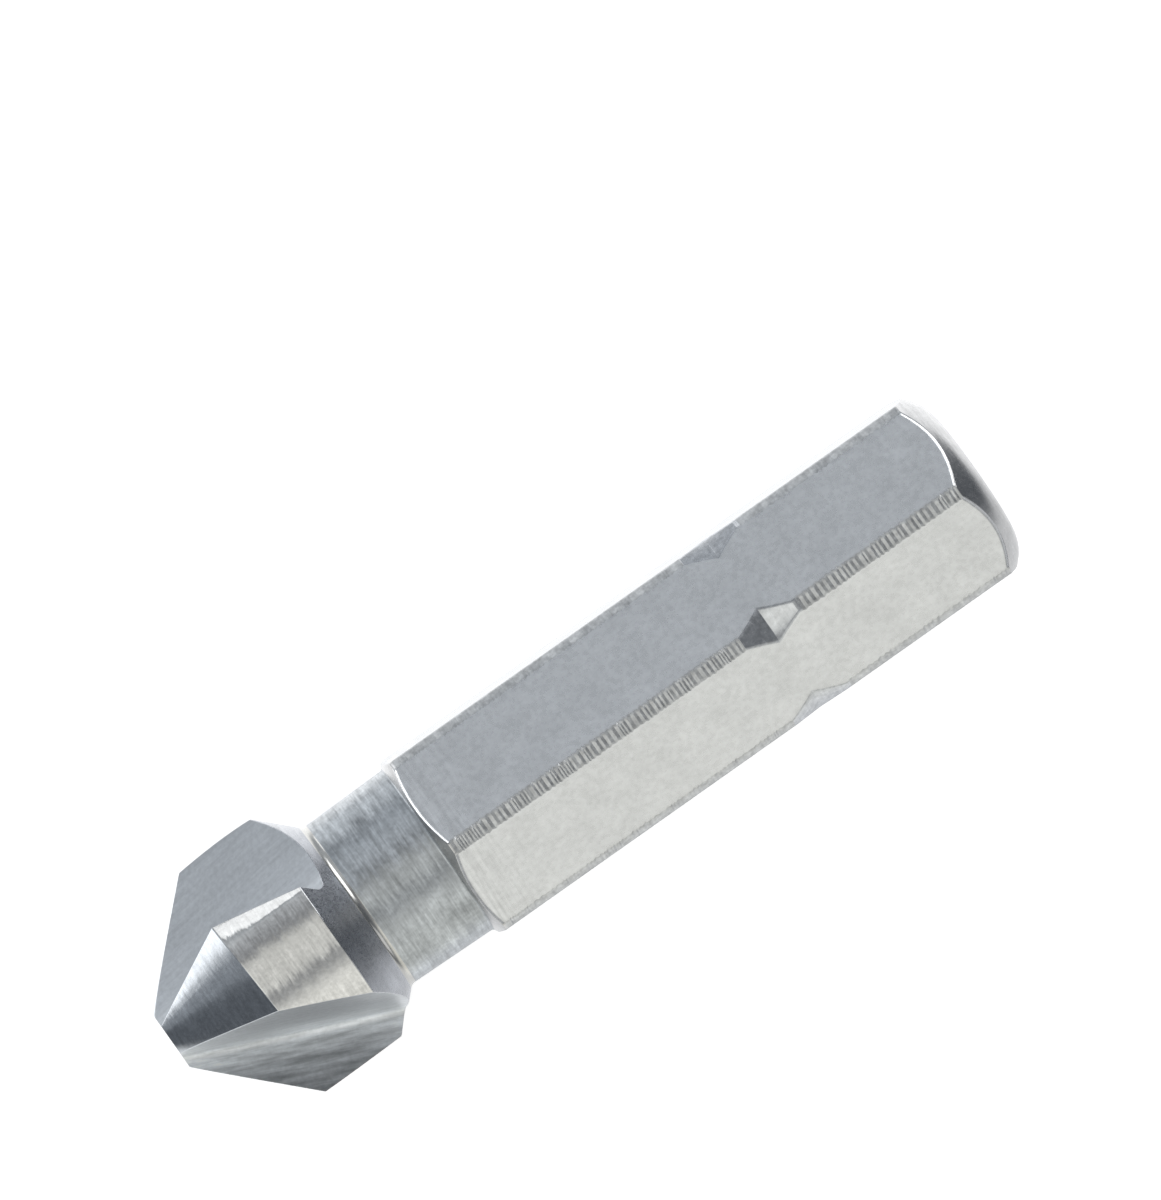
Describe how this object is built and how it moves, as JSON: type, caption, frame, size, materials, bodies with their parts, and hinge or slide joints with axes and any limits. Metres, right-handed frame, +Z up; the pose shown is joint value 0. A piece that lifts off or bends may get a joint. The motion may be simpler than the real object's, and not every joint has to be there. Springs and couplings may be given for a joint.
{
  "type": "countersink bit",
  "caption": "Solid steel countersinking bit: a short fluted cutting cone with relieved edges on a necked, hexagonal quick-change shank, for chamfering and deburring drilled holes.",
  "frame": {"origin": "centre of the shank's flat end face, on the tool's axis", "axes": "+X along the tool's axis from the shank's end to the cutting tip, +Z up through a corner of the hexagon; the tool lies level, as it rests on a bench"},
  "size_m": [0.0306, 0.0082, 0.0078],
  "materials": {
    "tool_steel": "bright ground steel with fine grinding and turning marks"
  },
  "bodies": {
    "root": {"countersink_bit": "tool_steel"}
  },
  "joints": []
}
